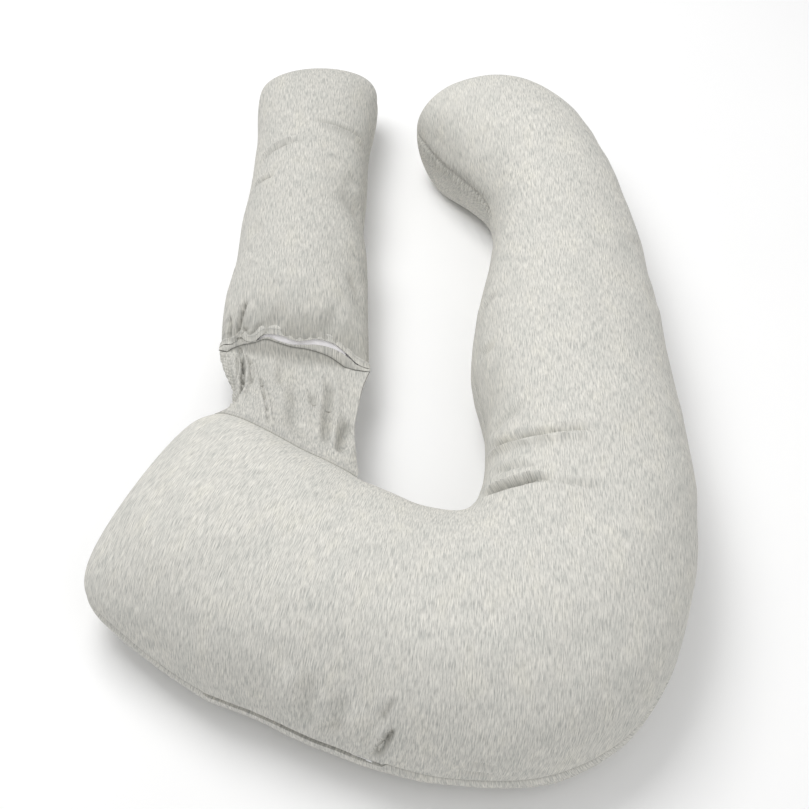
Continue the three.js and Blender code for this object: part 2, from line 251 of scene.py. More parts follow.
def sheet_faces(count, across, offset=0, flip=False):
    """Quads of a grid of count by across points."""
    ids = np.arange(count * across).reshape(count, across) + offset
    quads = np.stack([ids[:-1, :-1], ids[1:, :-1], ids[1:, 1:], ids[:-1, 1:]], -1).reshape(-1, 4)
    return (quads[:, ::-1] if flip else quads).tolist()


def border(count, across, offset=0):
    """Points round the edge of a grid, in order."""
    ids = np.arange(count * across).reshape(count, across) + offset
    return [*ids[:, 0], *ids[-1, 1:-1], *ids[::-1, -1], *ids[0, 1:-1][::-1]]


def shell(name, outer, inner_step, thickness, material, attributes, flip=False):
    """A closed thin body: the outer grid, a coarser inner grid, and a rim between their borders."""
    count, across = outer.shape[:2]
    normals = grid_normals(outer) * (-1 if flip else 1)
    rows, columns = np.arange(0, count, inner_step), np.arange(0, across, inner_step)
    deep = np.broadcast_to(thickness, (count, across))[np.ix_(rows, columns)]
    inner = outer[np.ix_(rows, columns)] - normals[np.ix_(rows, columns)] * deep[:, :, None]
    points = np.vstack([outer.reshape(-1, 3), inner.reshape(-1, 3)])
    faces = sheet_faces(count, across, 0, flip)
    offset = count * across
    faces += sheet_faces(len(rows), len(columns), offset, not flip)
    a, b = border(count, across), border(len(rows), len(columns), offset)
    for k in range(len(b)):
        fan = [a[(k * inner_step + i) % len(a)] for i in range(inner_step + 1)]
        wall = [[fan[i + 1], fan[i], b[k]] for i in range(inner_step)]
        wall.append([fan[-1], b[k], b[(k + 1) % len(b)]])
        faces += [[int(v) for v in (w[::-1] if flip else w)] for w in wall]
    data = {}
    for key, values in attributes.items():
        inside = values[np.ix_(rows, columns)]
        width = values.shape[2:]
        data[key] = np.concatenate([values.reshape(-1, *width), inside.reshape(-1, *width)])
    points, faces, data = weld(points, faces, data)
    return make(name, points, faces, material, data)


# ---- Wrinkles ----
def crease(points, normals, path, width, depth, ridge=0.35, fade=0.3, skew=0.0):
    """A crease along a path: how far each point moves along its normal, and how much painted shade darkens
    it.
    """
    line = spline(np.array(path) / 1000, 8)
    flat = points.reshape(-1, 3)
    for _ in range(3):  # the path is laid onto the surface
        nearest = [np.argmin(np.sum((flat - p) ** 2, axis=1)) for p in line]
        up = normals.reshape(-1, 3)[nearest]
        line = line - up * np.sum((line - flat[nearest]) * up, axis=1, keepdims=True)
    along = run_along(line)
    along = along / along[-1]
    reach = 5 * width
    near = np.all((flat > line.min(0) - reach) & (flat < line.max(0) + reach), axis=1)
    index = np.flatnonzero(near)
    best = np.full(len(index), np.inf)
    share = np.zeros(len(index))
    side = np.zeros(len(index))
    for k in range(len(line) - 1):
        a, d = line[k], line[k + 1] - line[k]
        v = flat[index] - a
        t = np.clip(v @ d / (d @ d), 0, 1)
        off = v - t[:, None] * d
        distance = np.linalg.norm(off, axis=1)
        closer = distance < best
        best = np.where(closer, distance, best)
        share = np.where(closer, along[k] + t * (along[k + 1] - along[k]), share)
        turn = np.einsum("ij,ij->i", np.cross(d, off), normals.reshape(-1, 3)[index])
        side = np.where(closer, np.sign(turn), side)
    ends = smooth(share, 0, fade) * smooth(1 - share, 0, fade)
    r = best / width
    lean = 1 + skew * side
    valley = np.exp(-(r**2)) * depth
    shoulder = np.exp(-(((r - 2.0) / 1.0) ** 2)) * depth * ridge * lean
    move, dark = np.zeros(len(flat)), np.zeros(len(flat))
    move[index] = (shoulder - valley) * ends
    # painted shade, darkest along the middle of the crease
    dark[index] = np.exp(-((best / (0.75 * width)) ** 2)) * ends
    return move.reshape(points.shape[:2]), dark.reshape(points.shape[:2])


def wrinkled(points, normals, folds):
    """The movement of all the creases together, and how much painted shade each point gets in them."""
    move, dark = np.zeros(points.shape[:2]), np.zeros(points.shape[:2])
    for path, width, depth, ridge, fade, skew in folds:
        m, d = crease(points, normals, path, width, depth, ridge, fade, skew)
        move += m
        # painted shade, stronger for creases that are deep for their width
        dark = np.maximum(dark, d * min(1.0, 0.5 * depth / width - 0.1))
    return move, dark


def lumps(points, size, amount, seed):
    """Slow random rise and fall of a stuffed surface."""
    at = points.reshape(-1, 3) / size + seed
    values = np.array([noise.noise(Vector(p)) for p in at])
    return values.reshape(points.shape[:2]) * amount


# ---- Materials ----
class Nodes:
    """Short calls for making a node tree."""

    def __init__(self, name):
        self.material = bpy.data.materials.new(name)
        self.material.use_nodes = True
        self.tree = self.material.node_tree
        self.shader = self.tree.nodes["Principled BSDF"]

    def node(self, kind, **values):
        made = self.tree.nodes.new("ShaderNode" + kind)
        for key, value in values.items():
            setattr(made, key, value)
        return made

    def link(self, a, b):
        self.tree.links.new(a, b)

    def attribute(self, name):
        return self.node("Attribute", attribute_name=name)

    def scaled(self, vector, scale):
        made = self.node("Mapping")
        made.inputs["Scale"].default_value = scale
        self.link(vector, made.inputs["Vector"])
        return made.outputs["Vector"]

    def noise(self, vector, scale=1.0, detail=2.0, roughness=0.5):
        made = self.node("TexNoise")
        made.inputs["Scale"].default_value = scale
        made.inputs["Detail"].default_value = detail
        made.inputs["Roughness"].default_value = roughness
        self.link(vector, made.inputs["Vector"])
        return made.outputs["Fac"]

    def ramp(self, value, stops):
        made = self.node("ValToRGB")
        ramp = made.color_ramp
        while len(ramp.elements) < len(stops):
            ramp.elements.new(0.5)
        for element, (place, colour) in zip(ramp.elements, stops):
            element.position = place
            element.color = (*colour, 1)
        self.link(value, made.inputs["Fac"])
        return made.outputs["Color"]

    def mix(self, kind, factor, a, b):
        made = self.node("Mix", data_type="RGBA", blend_type=kind)
        for key, value in (("Factor", factor), ("A", a), ("B", b)):
            coloured = key != "Factor"
            socket = next(s for s in made.inputs if s.name == key and (s.type == "RGBA") == coloured)
            if hasattr(value, "links"):
                self.link(value, socket)
            else:
                socket.default_value = value
        return next(s for s in made.outputs if s.type == "RGBA")

    def math(self, kind, a, b=0.0, c=0.0):
        made = self.node("Math", operation=kind)
        for k, value in enumerate((a, b, c)):
            if hasattr(value, "links"):
                self.link(value, made.inputs[k])
            else:
                made.inputs[k].default_value = value
        return made.outputs[0]

    def bump(self, height, strength, distance, normal=None):
        made = self.node("Bump")
        made.inputs["Strength"].default_value = strength
        made.inputs["Distance"].default_value = distance
        self.link(height, made.inputs["Height"])
        if normal:
            self.link(normal, made.inputs["Normal"])
        return made.outputs["Normal"]

    def finish(self, colour, normal, **values):
        self.link(colour, self.shader.inputs["Base Color"])
        if normal:
            self.link(normal, self.shader.inputs["Normal"])
        for key, value in values.items():
            self.shader.inputs[key.replace("_", " ")].default_value = value
        return self.material


# The jersey's light, middle and dark fibres.
HEATHER = [(0.665, 0.650, 0.605), (0.565, 0.557, 0.520), (0.435, 0.438, 0.415)]


def jersey(name, painted_light_tone=1.0, gathers=False):
    """Heather jersey: soft streaks along the grain, mottling, fine knit, painted shade in creases and seams,
    and a painted light tone over it all.
    """
    n = Nodes(name)
    grain = n.attribute("grain").outputs["Vector"]

    def cells(across, along):
        return n.scaled(grain, (1 / across, 1 / along, 1))

    streak = n.noise(cells(0.0013, 0.0150), 1, 3, 0.6)
    fleck = n.noise(cells(0.0010, 0.0080), 1, 2, 0.55)
    cloud = n.noise(cells(0.030, 0.045), 1, 3, 0.55)
    # painted light: the tone lightens or darkens this whole copy of the jersey
    light, middle, dark = [tuple(painted_light_tone * v for v in c) for c in HEATHER]
    base = n.ramp(streak, [(0.33, dark), (0.47, middle), (0.61, light)])
    fine = n.ramp(fleck, [(0.32, (0.74, 0.74, 0.74)), (0.50, (1, 1, 1)), (0.68, (1.14, 1.14, 1.12))])
    colour = n.mix("MULTIPLY", 0.8, base, fine)
    cloudy = n.ramp(cloud, [(0.30, (0.93, 0.94, 0.94)), (0.52, (1, 1, 1)), (0.72, (1.05, 1.045, 1.02))])
    colour = n.mix("MULTIPLY", 0.8, colour, cloudy)
    # Painted shade: the colour is darkened where the painted_shade attribute is high, in creases, seams,
    # above the mouth and at the panel's edges.
    painted_shade = n.attribute("painted_shade").outputs["Fac"]
    shade = n.ramp(painted_shade, [(0.0, (1, 1, 1)), (0.5, (0.70, 0.70, 0.69)), (1.0, (0.30, 0.30, 0.295))])
    colour = n.mix("MULTIPLY", 1.0, colour, shade)
    knit = n.noise(cells(0.0009, 0.0016), 1, 1, 0.5)
    height = n.math("ADD", n.math("MULTIPLY", streak, 0.5), n.math("MULTIPLY", knit, 0.6))
    normal = n.bump(height, 0.12, 0.0005)
    if gathers:
        seam = n.attribute("seam")
        split = n.node("SeparateXYZ")
        n.link(seam.outputs["Vector"], split.inputs[0])
        wobble = n.noise(n.scaled(grain, (30, 30, 1)), 1, 1, 0.5)
        turns = n.math("MULTIPLY", split.outputs[0], 2 * math.pi / GATHER_PITCH)
        phase = n.math("ADD", turns, n.math("MULTIPLY", wobble, 7))
        tick = n.math("POWER", n.math("MULTIPLY_ADD", n.math("SINE", phase), 0.5, 0.5), 1.6)
        ticks = n.math("MULTIPLY", tick, split.outputs[1])
        normal = n.bump(ticks, 0.9, 0.0022, normal)
    return n.finish(
        colour, normal, Roughness=0.93, Sheen_Weight=0.03, Sheen_Roughness=0.6, Specular_IOR_Level=0.18
    )


def woven(name, colour, thread=0.0007, variation=0.05):
    """Plain woven cloth or tape."""
    n = Nodes(name)
    place = n.node("TexCoord").outputs["Object"]
    warp = n.node("TexWave", bands_direction="X")
    weft = n.node("TexWave", bands_direction="Y")
    for wave in (warp, weft):
        wave.inputs["Scale"].default_value = 0.32 / thread
        wave.inputs["Distortion"].default_value = 0.6
        n.link(place, wave.inputs["Vector"])
    weave = n.math("MULTIPLY", warp.outputs["Fac"], weft.outputs["Fac"])
    blotch = n.noise(place, 60, 3, 0.5)
    low = tuple(v * (1 - variation) for v in colour)
    tinted = n.ramp(blotch, [(0.3, low), (0.7, colour)])
    normal = n.bump(weave, 0.3, 0.0003)
    return n.finish(tinted, normal, Roughness=0.85, Sheen_Weight=0.08, Specular_IOR_Level=0.25)


def moulded(name, colour, roughness, metallic=0.0):
    """Nylon or painted metal, with slight colour and surface variation."""
    n = Nodes(name)
    place = n.node("TexCoord").outputs["Object"]
    speck = n.noise(place, 900, 3, 0.6)
    low = tuple(v * 0.90 for v in colour)
    tinted = n.ramp(speck, [(0.3, low), (0.6, colour)])
    n.link(n.math("MULTIPLY_ADD", speck, 0.25, roughness - 0.1), n.shader.inputs["Roughness"])
    return n.finish(tinted, n.bump(speck, 0.12, 0.0002), Metallic=metallic)


# One jersey in three copies, lighter or darker as painted light: the main pillow's lightened, the link
# panel's and the bolster's darkened.
jersey_main = jersey("jersey_main", painted_light_tone=1.05, gathers=True)
jersey_panel = jersey("jersey_panel", painted_light_tone=0.90)
jersey_bolster = jersey("jersey_bolster", painted_light_tone=0.94, gathers=True)
case_cloth = woven("white_case_cloth", (0.95, 0.93, 0.95))
tape_cloth = woven("zip_tape_cloth", (0.88, 0.87, 0.83), 0.0005)
nylon = moulded("zip_nylon", (0.92, 0.92, 0.89), 0.45)
paint = moulded("zip_white_paint", (0.86, 0.86, 0.86), 0.35)
thread_cloth = woven("stitch_thread", (0.52, 0.52, 0.505), 0.0004)


# ---- Stuffed covers ----
def stations(length, step):
    """Distances along a shape, closer together at both ends, in a multiple of four steps."""
    x = np.linspace(0, 1, int(length / step / 4) * 4 + 1)
    return (x - np.sin(2 * np.pi * x) / (2 * np.pi) * 0.8) * length


def angles(count):
    """Angles over half a section, closer together at both seams."""
    x = np.linspace(0, 1, count + 1)
    return np.pi * x - 0.14 * np.sin(2 * np.pi * x)


def unrolled(points, centre, across):
    """Flat cloth coordinates: how far each point is from the crown line, along the section."""
    arc = run_along(points, 1)
    arc = arc[:, [arc.shape[1] // 2]] - arc
    return centre[:, None, :] + across[:, None, :] * arc[:, :, None]


def grain_of(flat, fan):
    """Streaks run along +Y, and lean over to the right on the lower limb, most at its far side."""
    x, y = flat[..., 0], flat[..., 1]
    near_lean = 0.24 * fan * smooth(-x, -0.14, 0.12)
    far_lean = 0.46 * fan * smooth(-x, -0.06, 0.24)
    t = np.clip((y + 0.42) / 0.30, 0, 1)
    risen = 0.15 * t**2 + np.maximum(y + 0.12, 0)
    return np.stack([x - near_lean * (y + 0.42) - far_lean * risen, y, np.zeros_like(x)], -1)


def half_cover(shape, side, distance, count, folds, seed, groove, slit, fan, gather, begin=None):
    """The grid of one half of a cover, wrinkled and creased, with its shader attributes."""
    phi = angles(count)[None, :]
    d = distance[:, None]
    if begin is not None:
        first = begin(phi)
        d = first + d * (1 - first / shape.length)
    opening = slit(distance)[:, None]
    base = shape.at(d, phi, side)
    rise = np.abs(base[:, [count // 2], 2] - base[:, [0], 2]) + 1e-4
    drop, power = (1.0, CROWN_POWER) if side > 0 else (UNDER_DROP, UNDER_POWER)
    first = np.arcsin(np.clip(opening / (rise * drop), 0, 0.5) ** (power / 2))
    points = shape.at(d, first + (np.pi - first) * phi / np.pi, side)
    middle = (points[:, 0] + points[:, -1])[:, :2] / 2
    across = unit(points[:, 0, :2] - points[:, -1, :2] + 1e-9)
    flat = unrolled(points, middle, across)
    normals = grid_normals(points) * (-side * shape.hand)
    move, dark = wrinkled(points, normals, folds)
    to_convex = run_along(points, 1)
    to_concave = to_convex[:, [-1]] - to_convex
    closed = 1 - smooth(opening, 0.0004, 0.003)
    from_start = run_along(points)
    to_end = from_start[-1] - from_start
    if begin is not None or shape.start["width"][0] == 0:  # an open end, with no seam
        from_start = from_start + 1
    near = np.minimum.reduce([to_convex + 0.02 * (1 - closed), to_concave, from_start, to_end])
    move = move - groove * np.exp(-((near / GROOVE_WIDTH) ** 2))
    # painted shade along the seam lines, beside the groove
    dark = np.maximum(dark, SEAM_PAINTED_SHADE * np.exp(-((near / SEAM_SHADE_WIDTH) ** 2)))
    soft = smooth(near, 0.0, 0.03) * smooth(np.minimum(d, shape.length - d), 0, 0.05)
    move = move + lumps(points, 0.085, 0.0050, seed) * soft + lumps(points, 0.030, 0.0012, seed + 5) * soft
    if begin is not None:  # shaded above the mouth
        # painted shade, darkest at the lip and fading upwards
        left = MOUTH_SHADE_REACH - (d - begin(phi))
        dark = np.maximum(dark, MOUTH_SHADE * smooth(left, 0, MOUTH_SHADE_REACH))
    points = points + normals * move[:, :, None]
    points[:, :, 2] = np.maximum(points[:, :, 2], FLOOR_GAP)
    convex_run, concave_run = run_along(points[:, 0]), run_along(points[:, -1])
    along = np.where(to_convex < to_concave, convex_run[:, None], concave_run[:, None])
    pull = gather(d, to_convex, to_concave)
    data = {
        "grain": grain_of(flat, fan),
        # painted shade of the creases, the seams and the mouth
        "painted_shade": np.clip(dark, 0, 1),
        "seam": np.stack([along, pull, near], -1),
    }
    from_ends = smooth(np.minimum(d, shape.length - d), 0.008, 0.030)
    thickness = COVER + COVER_PADDING * smooth(near, 0.008, 0.030) * from_ends
    return points, data, thickness


# Creases: the path in mm, and the width, depth, ridge, fade and skew that crease() takes.
MAIN_FOLDS = [
    # the inner corner
    (
        [
            (92, -224, 122), (101, -229, 138), (115, -233, 154), (133, -235, 166), (148, -235, 173),
            (160, -237, 178), (176, -243, 181),
        ],
        0.0038, 0.0066, 0.6, 0.32, 0.6,
    ),
    (
        [(164, -239, 180), (182, -244, 182), (200, -248, 183), (226, -251, 182)],
        0.0036, 0.0022, 0.6, 0.3, 0.0,
    ),
    (
        [
            (103, -156, 108), (110, -158, 128), (130, -165, 151), (152, -169, 166), (175, -172, 177),
            (204, -174, 183), (230, -175, 184),
        ],
        0.0044, 0.0046, 0.8, 0.25, -0.7,
    ),
    (
        [(106, -198, 130), (115, -203, 145), (134, -208, 162), (156, -216, 174)],
        0.0046, 0.0030, 0.5, 0.35, 0.0,
    ),
    ([(106, -140, 105), (128, -128, 140), (158, -122, 160)], 0.007, 0.0030, 0.4, 0.4, 0.0),
    # the near edge
    (
        [(-20, -507, 66), (-16, -505, 80), (-7, -502, 99), (2, -496, 117)],
        0.0036, 0.0064, 0.6, 0.25, 0.5,
    ),
    ([(-13, -490, 116), (-5, -484, 131), (3, -477, 145)], 0.0036, 0.0030, 0.5, 0.35, 0.0),
    (
        [(-96, -473, 70), (-89, -469, 98), (-85, -458, 122), (-79, -445, 142)],
        0.011, 0.0050, 0.5, 0.35, 0.8,
    ),
    ([(-83, -479, 75), (-69, -482, 88), (-51, -484, 100)], 0.006, 0.0022, 0.4, 0.4, 0.0),
    (
        [(-47, -464, 134), (-53, -473, 118), (-58, -482, 98), (-62, -488, 72)],
        0.011, 0.0050, 0.5, 0.35, 0.6,
    ),
    ([(56, -524, 77), (80, -526, 76), (107, -527, 74)], 0.0040, 0.0022, 0.5, 0.35, 0.0),
    ([(70, -523, 92), (85, -524, 92), (105, -526, 90)], 0.0040, 0.0018, 0.5, 0.35, 0.0),
    # the arm's two sides
    ([(300, 60, 140), (312, 74, 122), (318, 86, 102)], 0.010, 0.0025, 0.3, 0.4, 0.0),
    ([(272, 146, 140), (289, 150, 122), (296, 156, 104)], 0.008, 0.0025, 0.3, 0.4, 0.0),
    ([(100, 36, 104), (107, 54, 121), (116, 61, 135), (129, 63, 146)], 0.007, 0.0034, 0.5, 0.4, 0.0),
    ([(98, -21, 110), (107, -19, 128), (118, -17, 142)], 0.006, 0.0028, 0.5, 0.4, 0.0),
]
UNDER_FOLDS = [
    ([(90, -222, 70), (98, -226, 45), (108, -232, 22)], 0.006, 0.006, 0.4, 0.35, 0.0),
    ([(96, -196, 66), (104, -190, 42), (112, -184, 20)], 0.006, 0.004, 0.4, 0.35, 0.0),
]
ZIP_START = np.array([-0.0247, -0.5026, ZIP_HEIGHT])
ZIP_STRETCH = 0.192
ZIP_ALONG = unit(np.array([-0.186, 0.080, 0.0]))
ZIP_OUT = np.array([-ZIP_ALONG[1], ZIP_ALONG[0], 0.0])


def zip_slit(distance):
    """Half height of the opening along the convex seam: the zip's stretch opens, the rest is sewn shut."""
    place = main_shape.at(distance, np.zeros_like(distance), 1)
    x = (place - ZIP_START) @ ZIP_ALONG
    outward = (place - ZIP_START) @ ZIP_OUT
    open_here = smooth(x, -0.020, -0.010) * smooth(ZIP_STRETCH - x, -0.003, 0.004) * (np.abs(outward) < 0.05)
    return SEWN_SLIT + (ZIP_LIP - SEWN_SLIT) * open_here


def plain_slit(distance):
    return np.full_like(distance, SEWN_SLIT)


def main_gather(d, to_convex, to_concave):
    """Gathers stand along the concave seam of the hook and of the inner corner, and faintly all round."""
    length = main_shape.length
    hook = smooth(d, 0.01, 0.05) * smooth(0.24 - d, 0, 0.06)
    corner = np.exp(-(((d - 0.60 * length) / 0.09) ** 2)) * 0.6
    inside = (hook + corner + 0.12) * np.exp(-((to_concave / 0.020) ** 2))
    outside = 0.12 * np.exp(-((to_convex / 0.010) ** 2))
    return inside + outside


def bolster_gather(d, to_convex, to_concave):
    """Gathers stand along the left seam near the mouth, and faintly all round."""
    near_mouth = smooth(0.09 - d, 0, 0.06)
    left = (0.15 + 0.8 * near_mouth) * np.exp(-((to_concave / 0.016) ** 2))
    right = 0.15 * np.exp(-((to_convex / 0.012) ** 2))
    return left + right


main_stations = stations(main_shape.length, 0.0026)
for side, folds, name, node in (
    (1, MAIN_FOLDS, "main_cover_upper", "main_cover_top"),
    (-1, UNDER_FOLDS, "main_cover_under", "main_cover_bottom"),
):
    grid, data, thick = half_cover(
        main_shape,
        side,
        main_stations,
        count=128,
        folds=folds,
        seed=3.0,
        groove=0.0024,
        slit=zip_slit,
        fan=1.0,
        gather=main_gather,
    )
    if side > 0:
        main_top = grid
    cover = shell(name, grid, 4, thick, jersey_main, data, flip=side > 0)
    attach(cover, "main_pillow")
    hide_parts(node)


# ---- White inserts ----
def closed_grid(shape, distance, count, depth):
    """Rings of points all round a shape, a given depth inside its outer face."""
    phi = angles(count)[None, :]
    d = distance[:, None]
    upper, lower = (shape.at(d, phi, side, depth) for side in (1, -1))
    return np.concatenate([upper, lower[:, ::-1][:, 1:]], axis=1)


def closed_body(name, rings, material, hand, capped=False):
    """A body from rings of points, with a flat face over the first and the last ring where it is capped."""
    count, across = rings.shape[:2]
    faces = sheet_faces(count, across, 0, hand > 0)
    if capped:
        first = list(range(across - 1))
        last = [(count - 1) * across + k for k in first]
        faces += [first if hand > 0 else first[::-1], last[::-1] if hand > 0 else last]
    points, faces, _ = weld(rings.reshape(-1, 3), faces, {})
    return make(name, points, faces, material)


inner_stations = stations(main_shape.length - 2 * INSERT_DEPTH, 0.010) + INSERT_DEPTH
rings = closed_grid(main_shape, inner_stations, 36, INSERT_DEPTH + 0.003)
insert = closed_body("main_insert", rings, case_cloth, 1)
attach(insert, "main_pillow")
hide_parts("main_insert_case_top", "main_insert_case_bottom", "main_fibre_fill")

# ---- Bolster ----
# Places across the mouth from left (0) to right (1), and how far up the bolster each edge is, in mm:
# the upper lip, the top of the grey inner hem, and the top of the panel, which ends in the mouth.
LIP = [
    (0, 3.5), (0.03, 6.5), (0.078, 6.3), (0.112, 8.6), (0.146, 12.9), (0.186, 9.2),
    (0.24, 9.4), (0.28, 14), (0.32, 16.3), (0.405, 16.4), (0.475, 14.2), (0.529, 12.9),
    (0.595, 15.2), (0.661, 17.4), (0.743, 17.2), (0.80, 14.6), (0.86, 9.6), (0.904, 5.2),
    (0.95, 3), (1, 3),
]
INNER_HEM = [
    (0, 3), (0.03, 5.6), (0.078, 5.6), (0.112, 7.9), (0.146, 12.2), (0.186, 8.7),
    (0.24, 9.0), (0.32, 13.6), (0.40, 11.1), (0.488, 9.5), (0.575, 10.7), (0.657, 12.4),
    (0.74, 12.2), (0.80, 10.6), (0.86, 7.4), (0.92, 3), (1, 2),
]
PANEL_TOP = [
    (0, 0.3), (0.05, 0.5), (0.091, 3.4), (0.16, 6.8), (0.233, 8.8), (0.317, 12.6),
    (0.40, 10.6), (0.488, 8.8), (0.575, 8.7), (0.657, 7.9), (0.74, 5.9), (0.823, 1.8),
    (0.857, 0.9), (1, 0.4),
]


def profile(table):
    """A function of the place across the mouth, in metres."""
    line = spline(table, 12)
    return lambda share: np.interp(share, line[:, 0], np.maximum(line[:, 1], 0.2) / 1000)


lip_distance, inner_hem_distance, panel_top_distance = profile(LIP), profile(INNER_HEM), profile(PANEL_TOP)


def across_share(phi):
    """0 at the left seam, 1 at the right seam."""
    c = np.cos(phi)
    return (1 + np.sign(c) * np.abs(c) ** (2 / CROWN_POWER)) / 2


def above_lip(phi):
    return lip_distance(across_share(phi)) + 0.001


BOLSTER_FOLDS = [
    # gathers above the mouth's left corner
    (
        [(-192, 38, 72), (-191, 48, 81), (-189, 58, 89), (-186, 69, 98), (-181, 82, 106)],
        0.0026, 0.0046, 0.4, 0.15, 0.3,
    ),
    ([(-202, 40, 70), (-202, 56, 82), (-202, 74, 87)], 0.0026, 0.0034, 0.4, 0.2, 0.0),
    ([(-187, 36, 74), (-184, 44, 82), (-179, 52, 90)], 0.0024, 0.0030, 0.4, 0.2, 0.0),
    ([(-173, 37, 79), (-167, 43, 88), (-160, 56, 96)], 0.0040, 0.0030, 0.5, 0.35, 0.3),
    ([(-150, 40, 86), (-140, 56, 100), (-128, 76, 110)], 0.007, 0.0026, 0.4, 0.4, 0.0),
    ([(-84, 34, 86), (-76, 50, 100), (-70, 74, 110)], 0.008, 0.0028, 0.4, 0.4, 0.0),
    # creases across its top and sides
    (
        [
            (-180, 324, 98), (-174, 327, 108), (-162, 333, 117), (-146, 336, 124), (-129, 340, 128),
            (-116, 342, 128),
        ],
        0.0030, 0.0022, 0.9, 0.3, 0.7,
    ),
    (
        [(-116, 380, 130), (-94, 378, 127), (-68, 376, 117), (-51, 377, 101), (-40, 382, 80)],
        0.0040, 0.0034, 0.9, 0.3, -0.7,
    ),
    (
        [(-188, 282, 94), (-183, 283, 102), (-175, 283, 112), (-164, 282, 119), (-152, 279, 124)],
        0.0030, 0.0024, 0.8, 0.3, 0.5,
    ),
    ([(-42, 232, 70), (-46, 240, 96), (-60, 252, 112), (-78, 262, 122)], 0.017, 0.0042, 0.3, 0.4, 0.0),
    ([(-42, 296, 96), (-54, 282, 110), (-70, 272, 121)], 0.010, 0.0022, 0.4, 0.4, 0.0),
    ([(-40, 96, 84), (-48, 112, 100), (-60, 124, 112)], 0.010, 0.0030, 0.4, 0.4, 0.0),
    ([(-188, 196, 106), (-178, 194, 118), (-166, 192, 126)], 0.010, 0.0030, 0.4, 0.4, 0.0),
]

bolster_stations = stations(bolster_shape.length, 0.0021)
for side, folds, name, node, begin in (
    (1, BOLSTER_FOLDS, "bolster_cover_upper", "bolster_cover_top", above_lip),
    (-1, [], "bolster_cover_under", "bolster_cover_bottom", None),
):
    grid, data, thick = half_cover(
        bolster_shape,
        side,
        bolster_stations,
        count=96,
        folds=folds,
        seed=11.0,
        groove=0.0020,
        slit=plain_slit,
        fan=0.0,
        gather=bolster_gather,
        begin=begin,
    )
    cover = shell(name, grid, 4, thick, jersey_bolster, data, flip=side < 0)
    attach(cover, "bolster")
    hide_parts(node)

# The insert's white case shows in the mouth, and lies deeper everywhere else.
front_stations = stations(bolster_shape.length - 0.006, 0.006) + 0.003
rings = closed_grid(bolster_shape, front_stations, 40, 0.0014)
shown = smooth(0.034 - front_stations, 0, 0.012)[:, None] * np.ones(rings.shape[1])
middle = across_share(angles(40))
shown[:, :41] *= smooth(middle, 0.22, 0.28) * smooth(0.90 - middle, 0, 0.06)
shown[:, 41:] = 0
centre = rings.mean(axis=1, keepdims=True)
rings = rings + (centre - rings) * (0.11 * (1 - shown))[:, :, None]
insert = closed_body("bolster_insert", rings, case_cloth, -1, capped=True)
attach(insert, "bolster")
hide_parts("bolster_insert_case_top", "bolster_insert_case_bottom", "bolster_fibre_fill")


# ---- Hems of the mouth ----
def mouth_strip(near, far, rows, lift, roll, sink):
    """A strip over the bolster's upper half between two distance profiles, its near edge rolled over."""
    phi = np.pi * (0.02 + 0.96 * np.linspace(0, 1, 129))[None, :]
    share = across_share(phi)
    t = np.linspace(0, 1, rows)[:, None]
    d = near(share) * (1 - t) + far(share) * t
    points = bolster_shape.at(d, phi, 1)
    normals = grid_normals(points)
    rise = lift + roll * np.exp(-((t / 0.16) ** 2)) - sink * smooth(t, 0.45, 1)
    wave = 0.0005 * np.sin(share * 95) * np.exp(-t * 2)
    return points + normals * (rise + wave)[:, :, None], normals


def hem(name, node, near, far, lift, roll, sink, stitch_at):
    """A hem band of the mouth, with the folds of the bolster's left corner and a line of stitches."""
    rows = 13
    points, normals = mouth_strip(near, far, rows, lift, roll, sink)
    move, dark = wrinkled(points, normals, BOLSTER_FOLDS[:3])
    points = points + normals * (0.8 * move)[:, :, None]
    grain = grain_of(points[:, :, :2], 0.0)
    # painted shade of the corner's creases, a little lighter than on the cover
    painted_shade = np.clip(dark * 0.8, 0, 1)
    data = {"grain": grain, "painted_shade": painted_shade, "seam": np.zeros_like(points)}
    piece = shell(name, points, 4, SHEET_THICKNESS, jersey_bolster, data)
    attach(piece, "bolster")
    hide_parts(node)
    row = int(round(stitch_at * (rows - 1)))
    stitches(name + "_stitches", points[row], normals[row], "bolster")
    return piece


def stitches(name, line, normals, body, pitch=0.0036, length=0.0026, radius=0.00032):
    """A run of short sunk stitches along a line on a surface."""
    run = run_along(line)
    points, faces = [], []
    ring = 6
    for start in np.arange(pitch, run[-1] - pitch, pitch):
        where = start + np.array([0, 0.2, 0.5, 0.8, 1.0]) * length
        centre = np.stack([np.interp(where, run, line[:, k]) for k in range(3)], -1)
        up = unit(np.stack([np.interp(where, run, normals[:, k]) for k in range(3)], -1))
        ahead = unit(np.gradient(centre, axis=0))
        beside = unit(np.cross(ahead, up))
        thick = radius * np.array([0.35, 0.85, 1.0, 0.85, 0.35])
        lift = radius * np.array([-0.4, 0.35, 0.7, 0.35, -0.4])
        base = len(points)
        for c, u, b, r, h in zip(centre, up, beside, thick, lift):
            for k in range(ring):
                turn = 2 * math.pi * k / ring
                points.append(c + u * (h + r * math.sin(turn)) + b * r * math.cos(turn))
        for i in range(4):
            for k in range(ring):
                here, following = base + i * ring + k, base + i * ring + (k + 1) % ring
                faces.append([here + ring, following + ring, following, here])
        faces.append([base + k for k in range(ring)])
        faces.append([base + 4 * ring + k for k in range(ring)][::-1])
    piece = make(name, np.array(points), faces, thread_cloth)
    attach(piece, body)
    return piece


upper_hem = hem(
    "mouth_hem_upper_band",
    "mouth_hem_upper",
    lip_distance,
    lambda s: lip_distance(s) + 0.012,
    lift=0.0007,
    roll=0.0005,
    sink=0.0040,
    stitch_at=0.4,
)
lower_hem = hem(
    "mouth_hem_lower_band",
    "mouth_hem_lower",
    inner_hem_distance,
    lambda s: np.maximum(panel_top_distance(s) - 0.006, 0.0004),
    lift=-0.0002,
    roll=0.0003,
    sink=0.0012,
    stitch_at=0.3,
)


